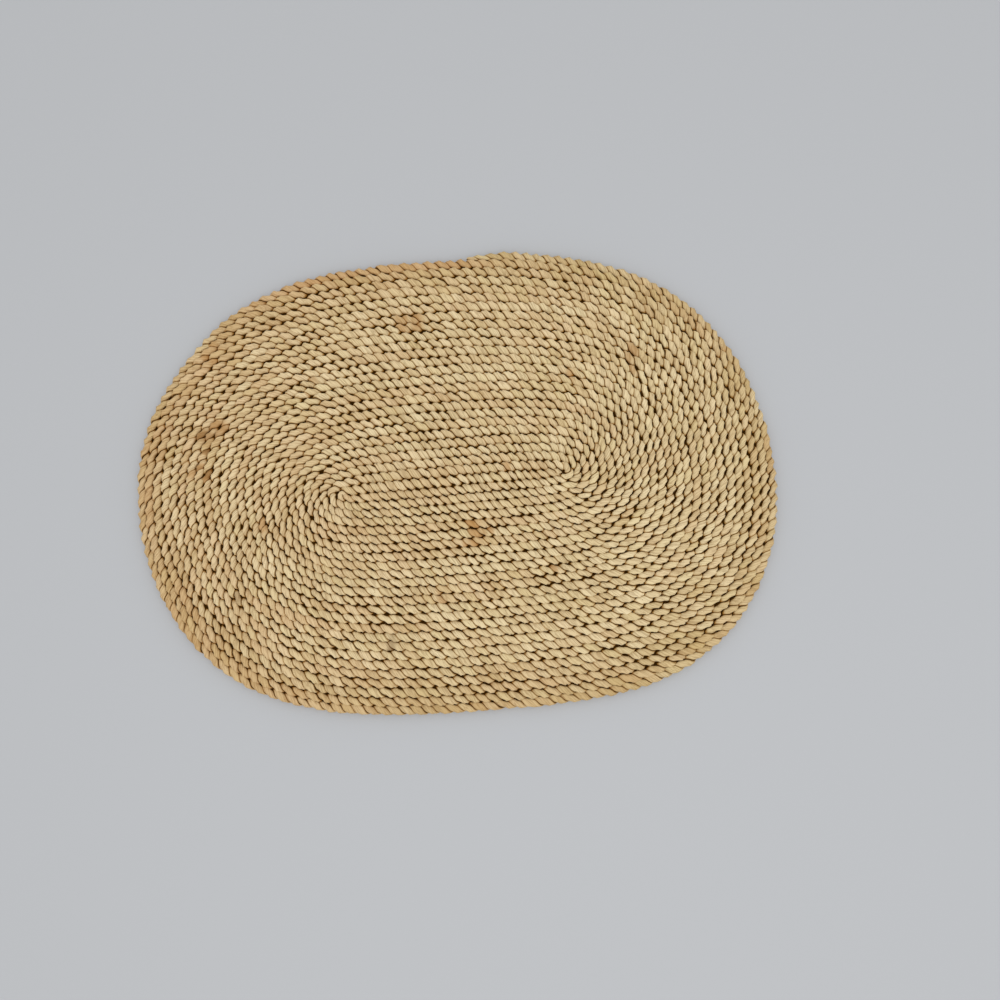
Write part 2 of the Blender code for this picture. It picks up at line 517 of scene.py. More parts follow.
def box_shift():
    """Shift that puts the winding where the solid is, its box centred on the origin."""
    lap_share = (END_LAP_SHARE + numpy.arange(STEPS_PER_TURN) / STEPS_PER_TURN) % 1.0
    plan, _ = coil_plan(lap_share, rim_turns(lap_share))
    middle = (plan.min(axis=0) + plan.max(axis=0)) / 2.0
    return numpy.array(MAT_MIDDLE[:2]) - middle


BOX_SHIFT = box_shift()


def rim_area():
    """Area inside the rim."""
    lap_share = numpy.arange(RIM_STEPS) / RIM_STEPS
    plan, _ = coil_plan(lap_share, rim_turns(lap_share))
    x, y = plan[:, 0], plan[:, 1]
    return 0.5 * float(abs(numpy.sum(x * numpy.roll(y, -1) - y * numpy.roll(x, -1))))


# ---- The cord's centre line, as arrays with a value for each point


def noise_along(cord, line, name):
    """Seeded noise that changes smoothly along the cord."""
    seed_step, length_mm, strength = NOISES[name]
    place = line["length"] / (length_mm * MM)
    random = numpy.random.default_rng(cord.seed + seed_step)
    values = random.uniform(-1.0, 1.0, int(place.max()) + 4)
    row = numpy.floor(place).astype(int)
    part = place - row
    ease = part * part * (3.0 - 2.0 * part)
    return strength * (values[row] * (1.0 - ease) + values[row + 1] * ease)


def cord_line(cord):
    """The cord from the curl in the core out to the rim, in even steps."""
    last_turn = WHOLE_TURNS + END_LAP_SHARE - cord.end_cut / LAP_LENGTH
    turns = numpy.linspace(0.0, last_turn, PATH_POINTS)
    width = 1.0 - (1.0 - END_WIDTH) * ramp((last_turn - turns) * LAP_LENGTH,
                                           cord.end_taper, 0.0)
    inset = 0.5 * (1.0 - width) + cord.rim_inset * ramp(turns, *OFF_AND_ON_RIM)
    plan, pitch = coil_plan(turns % 1.0, turns - inset)
    curl = start_curl(cord, plan)
    plan = numpy.concatenate((curl, plan)) + BOX_SHIFT
    turns, pitch, width = (
        numpy.concatenate((numpy.full(len(curl), values[0]), values))
        for values in (turns, pitch, width)
    )
    steps = numpy.hypot(numpy.diff(plan[:, 0]), numpy.diff(plan[:, 1]))
    lengths = numpy.concatenate(([0.0], numpy.cumsum(steps)))
    width = width * (START_WIDTH + (1.0 - START_WIDTH) * ramp(lengths, 0.0, cord.start_taper))
    rounding = ramp(lengths, lengths[-1], lengths[-1] - cord.end_rounding)
    width = width * numpy.sqrt(1.0 - (1.0 - TIP_WIDTH ** 2) * (1.0 - rounding) ** 2)

    count = int(lengths[-1] / cord.point_spacing) + 1
    even = numpy.linspace(0.0, lengths[-1], count)
    line = {"length": even}
    for name, values in (("x", plan[:, 0]), ("y", plan[:, 1]), ("pitch", pitch),
                         ("width", width), ("turns", turns)):
        line[name] = numpy.interp(even, lengths, values)
    for axis in ("x", "y"):
        line[axis] = line[axis] + wander(cord, line, axis)
    line["core"] = ramp(line["turns"], *OFF_AND_ON_CORE)
    line["rim"] = ramp(line["turns"], *OFF_AND_ON_RIM)
    line["plump"] = plumpness(cord, line)
    line["rust"], line["brown"] = stain_amounts(line)
    line["dim"] = DULL * ramp(line["turns"], *DULL_NOT_AND_FULLY)
    line["warm"] = warmth(cord, line)
    line["twist"] = -math.tau / STRANDS * nested_lobes(cord, line)
    return line


def start_curl(cord, plan):
    """Points before the cord's start, which is bent round into the mat's middle."""
    steps = numpy.linspace(0.0, cord.curl_length, CURL_POINTS)
    back = math.atan2(plan[0, 1] - plan[HEADING_POINT, 1], plan[0, 0] - plan[HEADING_POINT, 0])
    headings = back - steps / cord.curl_radius
    moves = numpy.stack((numpy.cos(headings), numpy.sin(headings)), axis=-1) * steps[1]
    return (plan[0] + numpy.cumsum(moves, axis=0))[::-1]


def wander(cord, line, axis):
    """How far the turns stray along an axis: whole patches together, and each turn a little."""
    random = numpy.random.default_rng(cord.seed + STRAY_SEED_STEPS[axis])
    stray = 0.0
    for wavelength in STRAY_WAVELENGTHS_MM:
        direction = random.uniform(0.0, math.tau)
        start = random.uniform(0.0, math.tau)
        place = line["x"] * math.cos(direction) + line["y"] * math.sin(direction)
        stray = stray + STRAY_SHARE * numpy.sin(math.tau * place / (wavelength * MM) + start)
    free = numpy.maximum(ramp(line["turns"], *HELD_FULLY_AND_NOT), HELD_SHARE)
    return cord.row_wander * free * (stray + noise_along(cord, line, axis))


def plumpness(cord, line):
    """1 where the cord is plump, as round the mat's ends, and 0 where it is pressed."""
    x, y = line["x"], line["y"]
    across = numpy.gradient(y) ** 2 / (numpy.gradient(x) ** 2 + numpy.gradient(y) ** 2)
    plump = PLUMP_EVERYWHERE + PLUMP_ROUND_ENDS * across + noise_along(cord, line, "plump")
    plump += PLUMP_AT_RIGHT * x / TO_RIGHT + PLUMP_AT_FAR_SIDE * y / TO_FAR_SIDE
    return numpy.clip(plump, 0.0, 1.0)


def stain_amounts(line):
    """How rusty the leaf is, and how brown."""
    amounts = numpy.zeros((2, len(line["x"])))
    for x_mm, y_mm, radius_mm, rust, brown in STAINS:
        distance = numpy.hypot(line["x"] - x_mm * MM, line["y"] - y_mm * MM)
        fade = ramp(distance / (radius_mm * MM), *STAIN_NOT_AND_FULLY)
        amounts = numpy.maximum(amounts, numpy.outer((rust, brown), fade))
    return amounts


def warmth(cord, line):
    """How warm the leaf is: more to the left, in patches of its own, and in the outer turns."""
    warm = WARM_EVERYWHERE + WARM_AT_RIGHT * line["x"] / TO_RIGHT
    warm += noise_along(cord, line, "warm") + WARM_WHERE_DULL * line["dim"]
    from_stretch = numpy.abs(line["turns"] - WARM_STRETCH_TURN)
    warm += WARM_STRETCH * ramp(from_stretch, *WARM_STRETCH_NOT_AND_FULLY)
    return numpy.clip(warm, 0.0, 1.0)


def nested_lobes(cord, line):
    """Number of lobes up to each point, with the lobes of a turn between those inside it."""
    turns, lengths = line["turns"], line["length"]
    lay = cord.outer_lay_length - cord.lay_length
    lay = cord.lay_length + lay * (turns / turns[-1]) ** LAY_POWER
    lay = lay * (1.0 + noise_along(cord, line, "lay") + noise_along(cord, line, "slow lay"))
    lobe_length = lay / STRANDS
    step = lengths[1] - lengths[0]
    lobes = numpy.zeros(len(lengths))
    for i in range(1, len(lengths)):
        pull = 0.0
        if turns[i] > NESTING_FROM:
            inside = numpy.interp(turns[i] - 1.0, turns[:i], lobes[:i])
            pull = -cord.nest_pull * math.sin(math.tau * (lobes[i - 1] - inside - 0.5))
        lobes[i] = lobes[i - 1] + step / lobe_length[i] * (1.0 + pull)
    return lobes


# ---- Nodes


# The setting of a Map Range node that changes smoothly.
SMOOTH = {"interpolation_type": "SMOOTHSTEP"}


def first_output(value):
    """The socket meant by a node is its first output; a socket or a plain value stays."""
    return value.outputs[0] if isinstance(value, bpy.types.Node) else value


def add_node(tree, kind, *inputs, **settings):
    """Add a node with its settings and inputs.  A kind in capitals is a Math operation.

    Inputs are plain values, sockets or nodes.  They go in order, or by name in one dict.
    """
    if kind.isupper():
        kind, settings = "ShaderNodeMath", {"operation": kind}
    node = tree.nodes.new(kind)
    for name, value in settings.items():
        setattr(node, name, value)
    named = inputs[0] if inputs and isinstance(inputs[0], dict) else dict(enumerate(inputs))
    for name, value in named.items():
        value = first_output(value)
        if isinstance(value, bpy.types.NodeSocket):
            tree.links.new(value, node.inputs[name])
        else:
            node.inputs[name].default_value = value
    return node


def socket_name(setting):
    """Name of the node tree's input for a setting of the strands."""
    return setting.replace("_", " ").title()


def set_inputs(modifier, values):
    """Set a node modifier's inputs by the identifiers of their sockets."""
    sockets = {
        item.name: item.identifier for item in modifier.node_group.interface.items_tree
        if item.item_type == "SOCKET" and item.in_out == "INPUT"
    }
    for name, value in values.items():
        modifier[sockets[name]] = value


def made_plain(source, name):
    """A plain mesh object from what the modifiers of an object make."""
    depsgraph = bpy.context.evaluated_depsgraph_get()
    mesh = bpy.data.meshes.new_from_object(source.evaluated_get(depsgraph),
                                           preserve_all_data_layers=True, depsgraph=depsgraph)
    mesh.name = name
    bpy.data.objects.remove(source, do_unlink=True)
    piece = bpy.data.objects.new(name, mesh)
    bpy.context.scene.collection.objects.link(piece)
    return piece


# ---- The strands


def strand_tree():
    """Geometry Nodes: sweeps each strand of the cord round the cord's centre line."""
    tree = bpy.data.node_groups.new("Twisted strands", "GeometryNodeTree")
    sockets = [("Geometry", "Geometry"), ("Strands", "Int"), ("Sides", "Int"), ("Seed", "Int")]
    sockets += [(socket_name(name), "Float") for name in PlacematStrands.__annotations__]
    sockets += [("Material", "Material")]
    for name, kind in sockets:
        tree.interface.new_socket(name, in_out="INPUT", socket_type=f"NodeSocket{kind}")
    tree.interface.new_socket("Geometry", in_out="OUTPUT", socket_type="NodeSocketGeometry")
    node = partial(add_node, tree)
    given = node("NodeGroupInput").outputs
    paths = strand_paths(node, given)
    ring = strand_ring(node, given)
    made = node("GeometryNodeCurveToMesh", {
        "Curve": paths, "Profile Curve": ring, "Fill Caps": True})
    position, looks = strand_surface(node, given, paths.outputs, ring.outputs["Around"])
    made = node("GeometryNodeSetPosition", {"Geometry": made, "Position": position})
    for name, value in looks.items():
        made = node("GeometryNodeStoreNamedAttribute",
                    {"Geometry": made, "Name": name, "Value": value},
                    data_type="FLOAT", domain="POINT")
    made = node("GeometryNodeSetShadeSmooth", {"Geometry": made})
    made = node("GeometryNodeRealizeInstances", {"Geometry": made})
    made = node("GeometryNodeSetMaterial", {"Geometry": made, "Material": given["Material"]})
    node("NodeGroupOutput", {"Geometry": made})
    return tree


def kept_on_points(node, geometry, values):
    """Keeps values on a geometry's points, to be read after the sweep."""
    kept = node("GeometryNodeCaptureAttribute", {"Geometry": geometry}, domain="POINT")
    for name, value in values.items():
        value = first_output(value)
        kept.capture_items.new("VECTOR" if value.type == "VECTOR" else "FLOAT", name)
        kept.id_data.links.new(value, kept.inputs[name])
    return kept


def strand_paths(node, given):
    """The centre line once for each strand, with the strand's place and its lobes' traits."""
    curve = node("GeometryNodeMeshToCurve", {"Mesh": given["Geometry"]})
    copies = node("GeometryNodeDuplicateElements",
                  {"Geometry": curve, "Amount": given["Strands"]}, domain="SPLINE")
    strand = copies.outputs["Duplicate Index"]
    tangent = node("GeometryNodeInputTangent")
    side = node("ShaderNodeVectorMath", (0.0, 0.0, 1.0), tangent, operation="CROSS_PRODUCT")
    side = node("ShaderNodeVectorMath", side, operation="NORMALIZE")
    twist = node("GeometryNodeInputNamedAttribute", {"Name": "twist"}, data_type="FLOAT")
    phase = node("MULTIPLY_ADD", strand, node("DIVIDE", math.tau, given["Strands"]), twist)
    lobe_place = node("DIVIDE", phase, math.tau)
    lobe = node("FLOOR", lobe_place)
    ease = node("ShaderNodeMapRange", node("SUBTRACT", lobe_place, lobe), *CHANGE_FROM_AND_TO,
                **SMOOTH)

    def lobe_value(trait):
        """Random value of each lobe, between -1 and 1, easing from lobe to lobe."""
        seed = node("ADD", given["Seed"], LOBE_SEED_STEPS[trait])
        values = []
        for step in (0.0, 1.0):
            number = node("MULTIPLY_ADD", node("ADD", lobe, step), given["Strands"], strand)
            random = node("FunctionNodeRandomValue",
                          {2: -1.0, 3: 1.0, "ID": number, "Seed": seed}, data_type="FLOAT")
            values.append(random.outputs[1])
        return node("ShaderNodeMix", {0: ease, 2: values[0], 3: values[1]})

    width_variation = given["Size Variation"]
    height_variation = node("MULTIPLY", width_variation, HEIGHT_VARIATION_SHARE)
    return kept_on_points(node, copies, {
        "Centre": node("GeometryNodeInputPosition"),
        "Side": side,
        "Phase": phase,
        "Strand": strand,
        "Wide": node("MULTIPLY_ADD", lobe_value("width"), width_variation, 1.0),
        "High": node("MULTIPLY_ADD", lobe_value("height"), height_variation, 1.0),
        "Tone": lobe_value("tone"),
        "Tint": lobe_value("tint"),
        "Shift": node("MULTIPLY", lobe_value("shift"), given["Lobe Shift"]),
    })


def strand_ring(node, given):
    """The ring that is swept, with the angle round it from the side away from the cord."""
    ring = node("GeometryNodeCurvePrimitiveCircle",
                {"Resolution": given["Sides"], "Radius": 1.0}, mode="RADIUS")
    factor = node("GeometryNodeSplineParameter").outputs["Factor"]
    return kept_on_points(node, ring, {"Around": node("MULTIPLY_ADD", factor, math.tau, math.pi)})


def strand_surface(node, given, path, around):
    """Where each point of a swept strand goes, and what its looks need to know."""
    on_line = {
        name: node("GeometryNodeInputNamedAttribute", {"Name": name}, data_type="FLOAT")
        for name in ("along", "core", "rim", "plump", "sideways_share", "upwards_share")
    }

    def by_plumpness(name):
        """A setting that is given for pressed and for plump stretches."""
        return node("ShaderNodeMix", {0: on_line["plump"], 2: given[name],
                                      3: given[f"Plump {name}"]})

    # A strand stays longer on a face than a round cord's would, and dives steeply.
    phase = path["Phase"]
    phase = node("MULTIPLY_ADD", node("SINE", node("MULTIPLY", phase, 2.0)),
                 node("MULTIPLY", by_plumpness("Lingering"), -0.5), phase)
    sine, cosine = node("SINE", phase), node("COSINE", phase)
    on_face = node("MULTIPLY", cosine, cosine)
    angle = node("SUBTRACT", around, node("MULTIPLY", node("SINE", around), RING_CROWDING))
    across, out = strand_section(node, given, path, on_line, by_plumpness, angle, sine, on_face)

    from_axis = node("ShaderNodeMix", {0: on_face, 2: given["Sideways Offset"],
                                       3: given["Upwards Offset"]})
    sideways = node("MULTIPLY", sine, node("ADD", out, given["Sideways Offset"]))
    sideways = node("MULTIPLY_ADD", cosine, across, sideways)
    sideways = stopped_sideways(node, given, on_line, sideways)
    sideways = node("ADD", sideways, path["Shift"])
    sideways = node("MULTIPLY", sideways, on_line["sideways_share"])

    upwards = node("MULTIPLY", cosine, node("ADD", out, given["Upwards Offset"]))
    upwards = node("SUBTRACT", upwards, node("MULTIPLY", sine, across))
    # Each turn leans on the one inside it, and its outer side lies higher.
    level_run = node("MAXIMUM", on_line["core"], on_line["rim"])
    lean = node("MULTIPLY", given["Lean"], node("SUBTRACT", 1.0, level_run))
    upwards = node("SUBTRACT", upwards, node("MULTIPLY", sideways, lean))
    # Pressed flat: the strands' tops are squeezed to one height.
    sunken = node("DIVIDE", node("ABSOLUTE", upwards), given["Pressed From"])
    sunken = node("MAXIMUM", node("SUBTRACT", 1.0, sunken), 0.0)
    sunken = node("POWER", sunken, by_plumpness("Pressing"))
    upwards = node("MULTIPLY", node("SUBTRACT", 1.0, sunken), node("SIGN", upwards))
    upwards = node("MULTIPLY", upwards, given["Face Height"])
    upwards = node("MULTIPLY", upwards, on_line["upwards_share"])

    offset = node("ShaderNodeVectorMath", {0: path["Side"], "Scale": sideways},
                  operation="SCALE")
    position = node("ShaderNodeVectorMath", path["Centre"], offset, operation="ADD")
    position = node("ShaderNodeVectorMath", position,
                    node("ShaderNodeCombineXYZ", {"Z": upwards}), operation="ADD")
    # The rim's outer side is in the open, and doesn't get the painted shade of a groove.
    in_open = node("ShaderNodeMapRange", sideways, *SHADED_AND_OPEN)
    in_open = node("MULTIPLY", in_open, on_line["rim"])
    # What the leaf's looks read: the painted shade in grooves and on dividing lines is laid by how
    # sunken a point is and how near the seam.
    return position, {
        "tone": path["Tone"],
        "tint": path["Tint"],
        "strand": path["Strand"],
        "around": node("DIVIDE", node("SUBTRACT", angle, math.tau), math.tau),
        "sunken": node("MULTIPLY", sunken, node("SUBTRACT", 1.0, in_open)),
        "from_seam": node("ADD", out, from_axis),
    }


def strand_section(node, given, path, on_line, by_plumpness, angle, sine, on_face):
    """A strand's section: how far a point lies across the strand, and out from its middle."""
    across, out = node("SINE", angle), node("COSINE", angle)
    outward = node("GREATER_THAN", out, 0.0)
    squareness = node("ShaderNodeMix", {0: outward, 2: given["Inner Squareness"],
                                        3: by_plumpness("Squareness")})
    size = node("ADD", node("POWER", node("ABSOLUTE", across), squareness),
                node("POWER", node("ABSOLUTE", out), squareness))
    size = node("POWER", size, node("DIVIDE", -1.0, squareness))
    width = node("ShaderNodeMix", {0: on_face, 2: given["Strand Height"],
                                   3: by_plumpness("Strand Width")})
    reach = node("SUBTRACT", given["Face Reach"], given["Side Reach"])
    reach = node("MULTIPLY_ADD", on_face, reach, given["Side Reach"])
    # Halfway between a face and a side, a strand is pressed into the corner there.
    cornered = node("MULTIPLY", node("MULTIPLY", sine, sine), node("MULTIPLY", on_face, 4.0))
    reach = node("MULTIPLY_ADD", cornered, given["Corner Reach"], reach)
    width = node("MULTIPLY_ADD", cornered, given["Corner Width"], width)
    inner_reach = given["Inner Reach"]
    reach = node("MULTIPLY_ADD", outward, node("SUBTRACT", reach, inner_reach), inner_reach)
    lump = node("ShaderNodeCombineXYZ", node("DIVIDE", on_line["along"], LUMP_LENGTH),
                node("MULTIPLY", across, LUMPS_PER_RADIUS),
                node("MULTIPLY_ADD", out, LUMPS_PER_RADIUS,
                     node("MULTIPLY", path["Strand"], LUMP_STRAND_STEP)))
    lump = node("ShaderNodeTexNoise", {"Vector": lump, "Scale": 1.0, "Detail": 1.0})
    lump = node("MULTIPLY", node("SUBTRACT", lump, 0.5), given["Lumps"])
    out = node("MULTIPLY", node("MULTIPLY", out, size),
               node("ADD", node("MULTIPLY", reach, path["High"]), lump))
    across = node("MULTIPLY", node("MULTIPLY", across, size),
                  node("ADD", node("MULTIPLY", width, path["Wide"]), lump))
    return across, out


def stopped_sideways(node, given, on_line, sideways):
    """The next turn stops a strand: its side is squeezed to one distance."""
    outer_side = node("LESS_THAN", sideways, 0.0)
    # The cord's first run lies over its neighbours on both sides.
    over = node("MAXIMUM", outer_side, on_line["core"])
    limit = node("MULTIPLY_ADD", node("MULTIPLY_ADD", over, 2.0, -1.0), given["Overlap"],
                 given["Side Limit"])
    limit = node("ShaderNodeMix", {0: node("MULTIPLY", outer_side, on_line["rim"]), 2: limit,
                                   3: given["Rim Limit"]})
    squeezed = node("POWER", node("ABSOLUTE", node("DIVIDE", sideways, limit)), STOP_POWER)
    squeezed = node("POWER", node("ADD", squeezed, 1.0), -1.0 / STOP_POWER)
    return node("MULTIPLY", sideways, squeezed)


# ---- Materials


def new_material(name):
    """A node material, its tree and its shader."""
    material = bpy.data.materials.new(name)
    material.use_nodes = True
    return material, material.node_tree, material.node_tree.nodes["Principled BSDF"]


def leaf_material(colours):
    """Dried seagrass leaf, split and twisted.

    Dried leaf is matt with a faint sheen on its skin.  To the eye it is a pale straw that changes
    a little from lobe to lobe, with fine fibres and creases along the strand.  Where it dives
    between the turns and no light comes, it is painted dark brown as shade, and it loses its
    sheen.
    """
    material, tree, shader = new_material("dried_seagrass_leaf")
    node = partial(add_node, tree)
    held = {
        name: node("ShaderNodeAttribute", attribute_name=name).outputs["Fac"]
        for name in ("along", "around", "strand", "tone", "tint", "dim", "warm", "rust",
                     "brown", "sunken", "from_seam")
    }
    # Millimetres along a strand and round it.
    along = node("MULTIPLY", held["along"], 1.0 / MM)
    around = node("MULTIPLY", held["around"], ROUND_STRAND_MM)
    strand = node("MULTIPLY", held["strand"], PATTERN_STRAND_STEP)

    def leaf_noise(length_mm, width_mm, detail, step):
        """Noise drawn out along the strand."""
        place = node("ShaderNodeCombineXYZ", node("DIVIDE", along, length_mm),
                     node("DIVIDE", around, width_mm), node("ADD", strand, step))
        return node("ShaderNodeTexNoise", {"Vector": place, "Scale": 1.0, "Detail": detail,
                                           "Roughness": 0.6})

    held["fibre"] = leaf_noise(length_mm=7.0, width_mm=0.5, detail=3.0, step=0.0)
    fold = leaf_noise(length_mm=11.0, width_mm=1.9, detail=1.0, step=5.0)
    fold = node("ABSOLUTE", node("MULTIPLY_ADD", fold, 2.0, -1.0))
    held["crease"] = node("SUBTRACT", 1.0, fold)
    # Patches of about 22 mm, nine in 200 mm, and specks of about 1 mm, nine in 10 mm.
    place = node("ShaderNodeTexCoord").outputs["Object"]
    for name, nine_mm, detail in (("patch", 200.0, 2.0), ("speck", 10.0, 1.0)):
        held[name] = node("ShaderNodeTexNoise", {"Vector": place, "Scale": 9.0 / (nine_mm * MM),
                                                 "Detail": detail})
    # A stain takes some lobes whole and leaves others.
    by_fibre = node("MULTIPLY_ADD", held["fibre"], STAIN_BY_FIBRE, -0.5 * STAIN_BY_FIBRE)
    by_lobe = node("MULTIPLY_ADD", held["tint"], STAIN_BY_LOBE, by_fibre)
    for name in ("rust", "brown"):
        near = node("ShaderNodeMapRange", held[name], 0.0, STAIN_EDGE, **SMOOTH)
        held[name] = node("MULTIPLY_ADD", by_lobe, near, held[name])

    tone = node("SUBTRACT", 0.5, held["dim"])
    for name, middle, strength in TONES:
        tone = node("MULTIPLY_ADD", node("SUBTRACT", held[name], middle), strength, tone)
    colour = node("ShaderNodeMix", {0: tone, 6: colours.dark_straw, 7: colours.pale_straw},
                  data_type="RGBA").outputs[2]
    for name, none_at, full_at, strength, layer, blending in LEAF_LAYERS:
        change = {} if name == "warm" else SMOOTH
        shown = node("ShaderNodeMapRange", held[name], none_at, full_at, 0.0, strength, **change)
        colour = node("ShaderNodeMix", {0: shown, 6: colour, 7: getattr(colours, layer)},
                      data_type="RGBA", blend_type=blending).outputs[2]
    tree.links.new(colour, shader.inputs["Base Color"])

    creased = node("ShaderNodeMapRange", held["crease"], CREASE_FROM, 1.0, **SMOOTH)
    height = node("MULTIPLY_ADD", held["fibre"], FIBRE_HEIGHT_MM,
                  node("MULTIPLY", creased, -CREASE_DEPTH_MM))
    bump = node("ShaderNodeBump", {"Height": height, "Distance": MM, "Strength": 0.8})
    tree.links.new(bump.outputs[0], shader.inputs["Normal"])
    roughness = node("ShaderNodeMapRange", held["fibre"], *FIBRE_LOW_AND_HIGH,
                     *ROUGHNESS_LOW_AND_HIGH, **SMOOTH)
    tree.links.new(roughness.outputs[0], shader.inputs["Roughness"])
    in_groove = node("ShaderNodeMapRange", held["sunken"], *SHEEN_LOST_IN_GROOVE, **SMOOTH)
    in_line = node("ShaderNodeMapRange", held["from_seam"], *SHEEN_LOST_IN_LINE, **SMOOTH)
    hidden = node("MAXIMUM", in_groove, in_line)
    sheen = node("ShaderNodeMapRange", hidden, 0.0, 1.0, SHEEN, 0.0, **SMOOTH)
    tree.links.new(sheen.outputs[0], shader.inputs["Specular IOR Level"])
    return material


def seam_material(colours):
    """Leaf pressed between the turns.

    It lies deep in the grooves, and its dull, dark brown is painted shade.
    """
    material, tree, shader = new_material("pressed_seam_leaf")
    place = add_node(tree, "ShaderNodeTexCoord").outputs["Object"]
    # Patches of 2.5 mm.
    noise = add_node(tree, "ShaderNodeTexNoise", {"Vector": place, "Scale": 1.0 / (2.5 * MM),
                                                  "Detail": 2.0})
    mix = add_node(tree, "ShaderNodeMix", {0: noise, 6: colours.dark_seam,
                                           7: colours.pale_seam}, data_type="RGBA")
    tree.links.new(mix.outputs[2], shader.inputs["Base Color"])
    shader.inputs["Roughness"].default_value = 0.9
    shader.inputs["Specular IOR Level"].default_value = 0.0
    return material


def table_material(colours):
    """A matt, pale grey table cover: even and without gloss, so that it shows no light."""
    material, _, shader = new_material("matt_table_cover")
    shader.inputs["Base Color"].default_value = colours.table
    shader.inputs["Roughness"].default_value = 0.9
    return material


# ---- Pieces


def declare(piece):
    """Say what a piece rides on, and hide the mat's solid."""
    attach(piece, "root")
    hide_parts("coiled_mat")


class PLACEMAT_OT_cord(bpy.types.Operator):
    """Twist and wind the cord"""

    bl_idname = "placemat.cord"
    bl_label = "Wind the cord"

    SIDES = 12
    STRETCHES = 5

    def execute(self, context):
        cord = context.scene.placemat_cord
        strands = context.scene.placemat_strands
        line = cord_line(cord)
        inputs = {"Strands": STRANDS, "Sides": self.SIDES, "Seed": cord.seed,
                  "Material": leaf_material(context.scene.placemat_colours)}
        inputs |= {socket_name(name): getattr(strands, name) for name in strands.__annotations__}
        tree = strand_tree()
        edges = numpy.linspace(0, len(line["x"]) - 1, self.STRETCHES + 1).astype(int)
        for number, (first, last) in enumerate(zip(edges, edges[1:]), start=1):
            span = slice(first, last + 1)
            stretch = {name: values[span] for name, values in line.items()}
            source = bpy.data.objects.new("line", self.line_mesh(cord, stretch))
            context.scene.collection.objects.link(source)
            modifier = source.modifiers.new("strands", "NODES")
            modifier.node_group = tree
            set_inputs(modifier, inputs)
            declare(made_plain(source, f"cord_{number}"))
        return {"FINISHED"}

    def line_mesh(self, cord, line):
        """A stretch of the cord's centre line, with what the node tree and the leaf read."""
        height = numpy.full(len(line["x"]), MAT_MIDDLE[2])
        points = numpy.stack((line["x"], line["y"], height), axis=-1)
        mesh = bpy.data.meshes.new("line")
        mesh.from_pydata(points.tolist(), [(i, i + 1) for i in range(len(points) - 1)], [])
        values = {name: line[name] for name in ("twist", "rust", "brown", "warm", "dim",
                                                "plump", "core", "rim")}
        values["along"] = line["length"]
        values["sideways_share"] = (line["width"] * line["pitch"] / NOMINAL_TURN
                                    * (1.0 - cord.plump_gap * line["plump"]))
        values["upwards_share"] = THIN_HEIGHT + (1.0 - THIN_HEIGHT) * line["width"]
        for name, numbers in values.items():
            layer = mesh.attributes.new(name, "FLOAT", "POINT")
            layer.data.foreach_set("value", numbers.astype(numpy.float32))
        return mesh


class PLACEMAT_OT_seams(bpy.types.Operator):
    """Lay the pressed middles of the turns, which the seams between the turns show, coloured dark
    as painted shade
    """

    bl_idname = "placemat.seams"
    bl_label = "Lay the pressed seams"

    STEPS = 112
    ROWS = 2 * (WHOLE_TURNS + 1)

    # How far inside the rim it ends, in turns, and how much more so under the cord's end.
    INSET = 0.45
    INSET_AT_END = 0.5
    INSET_NONE_AND_FULL = (45.0 * MM, 15.0 * MM)

    def execute(self, context):
        piece = bpy.data.objects.new("pressed_seams", self.seam_mesh(context.scene))
        context.scene.collection.objects.link(piece)
        declare(piece)
        rim_area()
        return {"FINISHED"}

    def seam_mesh(self, scene):
        """Two faces that rise and sink with the turns, joined at the rim."""
        mesh = bmesh.new()
        upper, lower = (self.face_grid(mesh, scene.placemat_seams, side) for side in (1.0, -1.0))
        for step in range(self.STEPS):
            after = (step + 1) % self.STEPS
            for row in range(self.ROWS):
                for grid in (upper, lower):
                    corners = (grid[row][step], grid[row + 1][step],
                               grid[row + 1][after], grid[row][after])
                    mesh.faces.new(corners if grid is upper else corners[::-1])
            mesh.faces.new((upper[-1][step], lower[-1][step], lower[-1][after],
                            upper[-1][after]))
        bmesh.ops.remove_doubles(mesh, verts=mesh.verts[:], dist=0.01 * MM)
        data = bpy.data.meshes.new("pressed_seams")
        mesh.to_mesh(data)
        mesh.free()
        data.materials.append(seam_material(scene.placemat_colours))
        return data

    def face_grid(self, mesh, seams, side):
        """Rows of vertices of the upper or the lower face, from the core to the rim."""
        lap_share = numpy.arange(self.STEPS) / self.STEPS
        # The pressed leaf, dark with painted shade, stays under the cord, also where the cord
        # thins to its end.
        _, before_end = since_and_before_end(lap_share)
        inset = self.INSET + self.INSET_AT_END * ramp(before_end * LAP_LENGTH,
                                                      *self.INSET_NONE_AND_FULL)
        grid = []
        for row in range(self.ROWS + 1):
            turns_out = row / self.ROWS * (rim_turns(lap_share) - inset)
            plan, _ = coil_plan(lap_share, turns_out)
            crest = 0.5 + 0.5 * numpy.cos(math.tau * (turns_out - lap_share))
            height = MAT_MIDDLE[2] + side * (seams.groove_height + seams.crest_height * crest)
            grid.append([mesh.verts.new((x, y, z)) for (x, y), z in zip(plan + BOX_SHIFT, height)])
        return grid


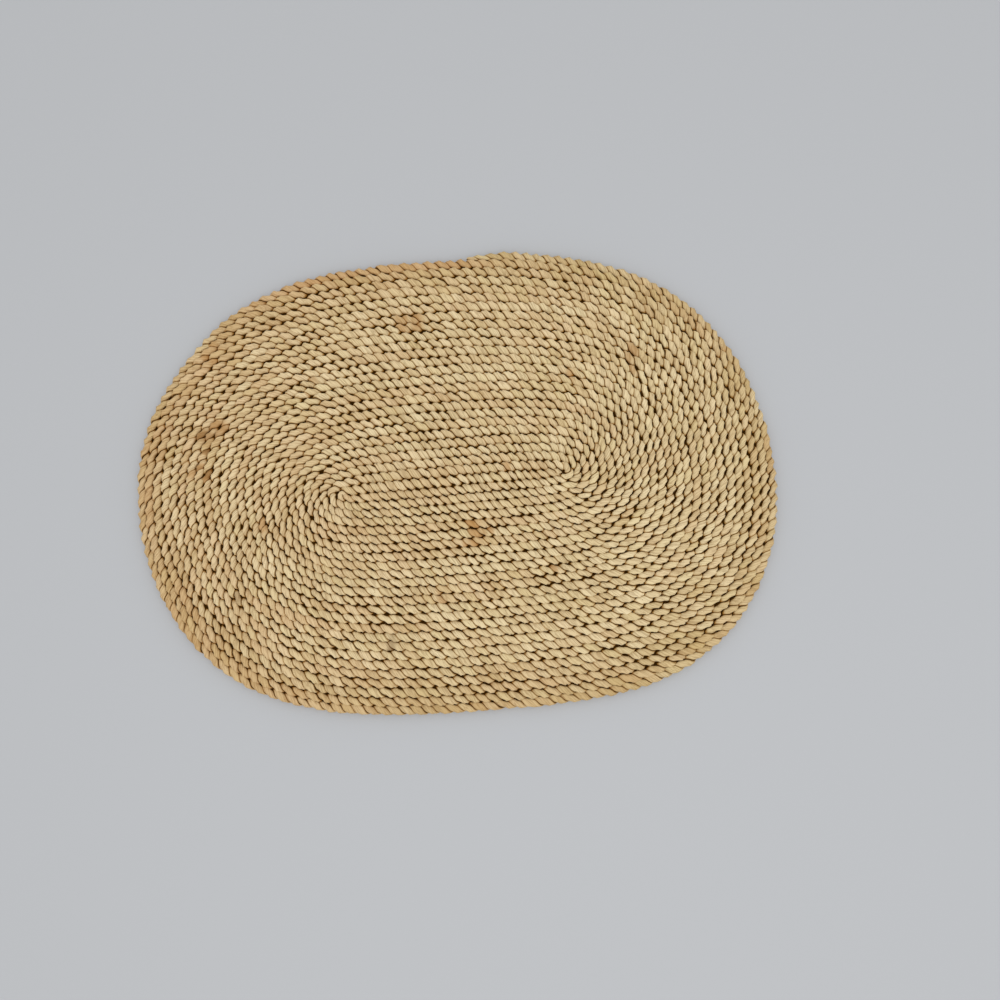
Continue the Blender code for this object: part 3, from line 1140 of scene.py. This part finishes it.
class PLACEMAT_OT_stage(bpy.types.Operator):
    """Set the table, the lights and the camera"""

    bl_idname = "placemat.stage"
    bl_label = "Set the stage"

    TABLE_SIZE = 6.0
    SENSOR_WIDTH = 36.0

    def execute(self, context):
        scene = context.scene
        stage = scene.placemat_stage
        bpy.ops.mesh.primitive_plane_add(size=self.TABLE_SIZE)
        table = context.active_object
        table.name = "table"
        table.data.materials.append(table_material(scene.placemat_colours))

        camera_data = bpy.data.cameras.new("camera")
        camera_data.sensor_width = self.SENSOR_WIDTH
        camera_data.lens = stage.lens
        camera = bpy.data.objects.new("camera", camera_data)
        foot = Matrix.Rotation(-stage.turn, 2) @ Vector(stage.foot)
        camera.location = (foot.x, foot.y, stage.height)
        camera.rotation_euler = (stage.tilt, 0.0, -stage.turn)
        scene.collection.objects.link(camera)
        scene.camera = camera

        room = bpy.data.worlds.new("room")
        room.use_nodes = True
        background = room.node_tree.nodes["Background"]
        background.inputs["Color"].default_value = linear("#ffffff")
        background.inputs["Strength"].default_value = stage.room_light
        scene.world = room

        window_data = bpy.data.lights.new("window", "AREA")
        window_data.shape = "DISK"
        window_data.size = stage.window_size
        window_data.energy = stage.window_power
        window = bpy.data.objects.new("window", window_data)
        window.location = stage.window_place
        window.rotation_euler = (-window.location).to_track_quat("-Z", "Y").to_euler()
        scene.collection.objects.link(window)
        scene.view_settings.view_transform = "Standard"
        return {"FINISHED"}


class PLACEMAT_PT_panel(bpy.types.Panel):
    """Makes the placemat and its stage, from the settings below each button"""

    bl_idname = "PLACEMAT_PT_panel"
    bl_label = "Seagrass placemat"
    bl_space_type = "VIEW_3D"
    bl_region_type = "UI"
    bl_category = "Placemat"

    def draw(self, context):
        scene = context.scene
        for operator, *groups in (
            (PLACEMAT_OT_cord, scene.placemat_cord, scene.placemat_strands),
            (PLACEMAT_OT_seams, scene.placemat_seams),
            (PLACEMAT_OT_stage, scene.placemat_stage, scene.placemat_colours),
        ):
            box = self.layout.box()
            box.operator(operator.bl_idname)
            for settings in groups:
                for name in settings.__annotations__:
                    box.prop(settings, name)


SETTINGS = {
    "placemat_cord": PlacematCord,
    "placemat_strands": PlacematStrands,
    "placemat_seams": PlacematSeams,
    "placemat_colours": PlacematColours,
    "placemat_stage": PlacematStage,
}
CLASSES = (*SETTINGS.values(), PLACEMAT_OT_cord, PLACEMAT_OT_seams, PLACEMAT_OT_stage,
           PLACEMAT_PT_panel)


def register():
    for one in CLASSES:
        bpy.utils.register_class(one)
    for name, group in SETTINGS.items():
        setattr(bpy.types.Scene, name, bpy.props.PointerProperty(type=group))


def unregister():
    for name in SETTINGS:
        delattr(bpy.types.Scene, name)
    for one in reversed(CLASSES):
        bpy.utils.unregister_class(one)


def main():
    register()
    bpy.ops.placemat.cord()
    bpy.ops.placemat.seams()
    bpy.ops.placemat.stage()


if __name__ == "__main__":
    main()
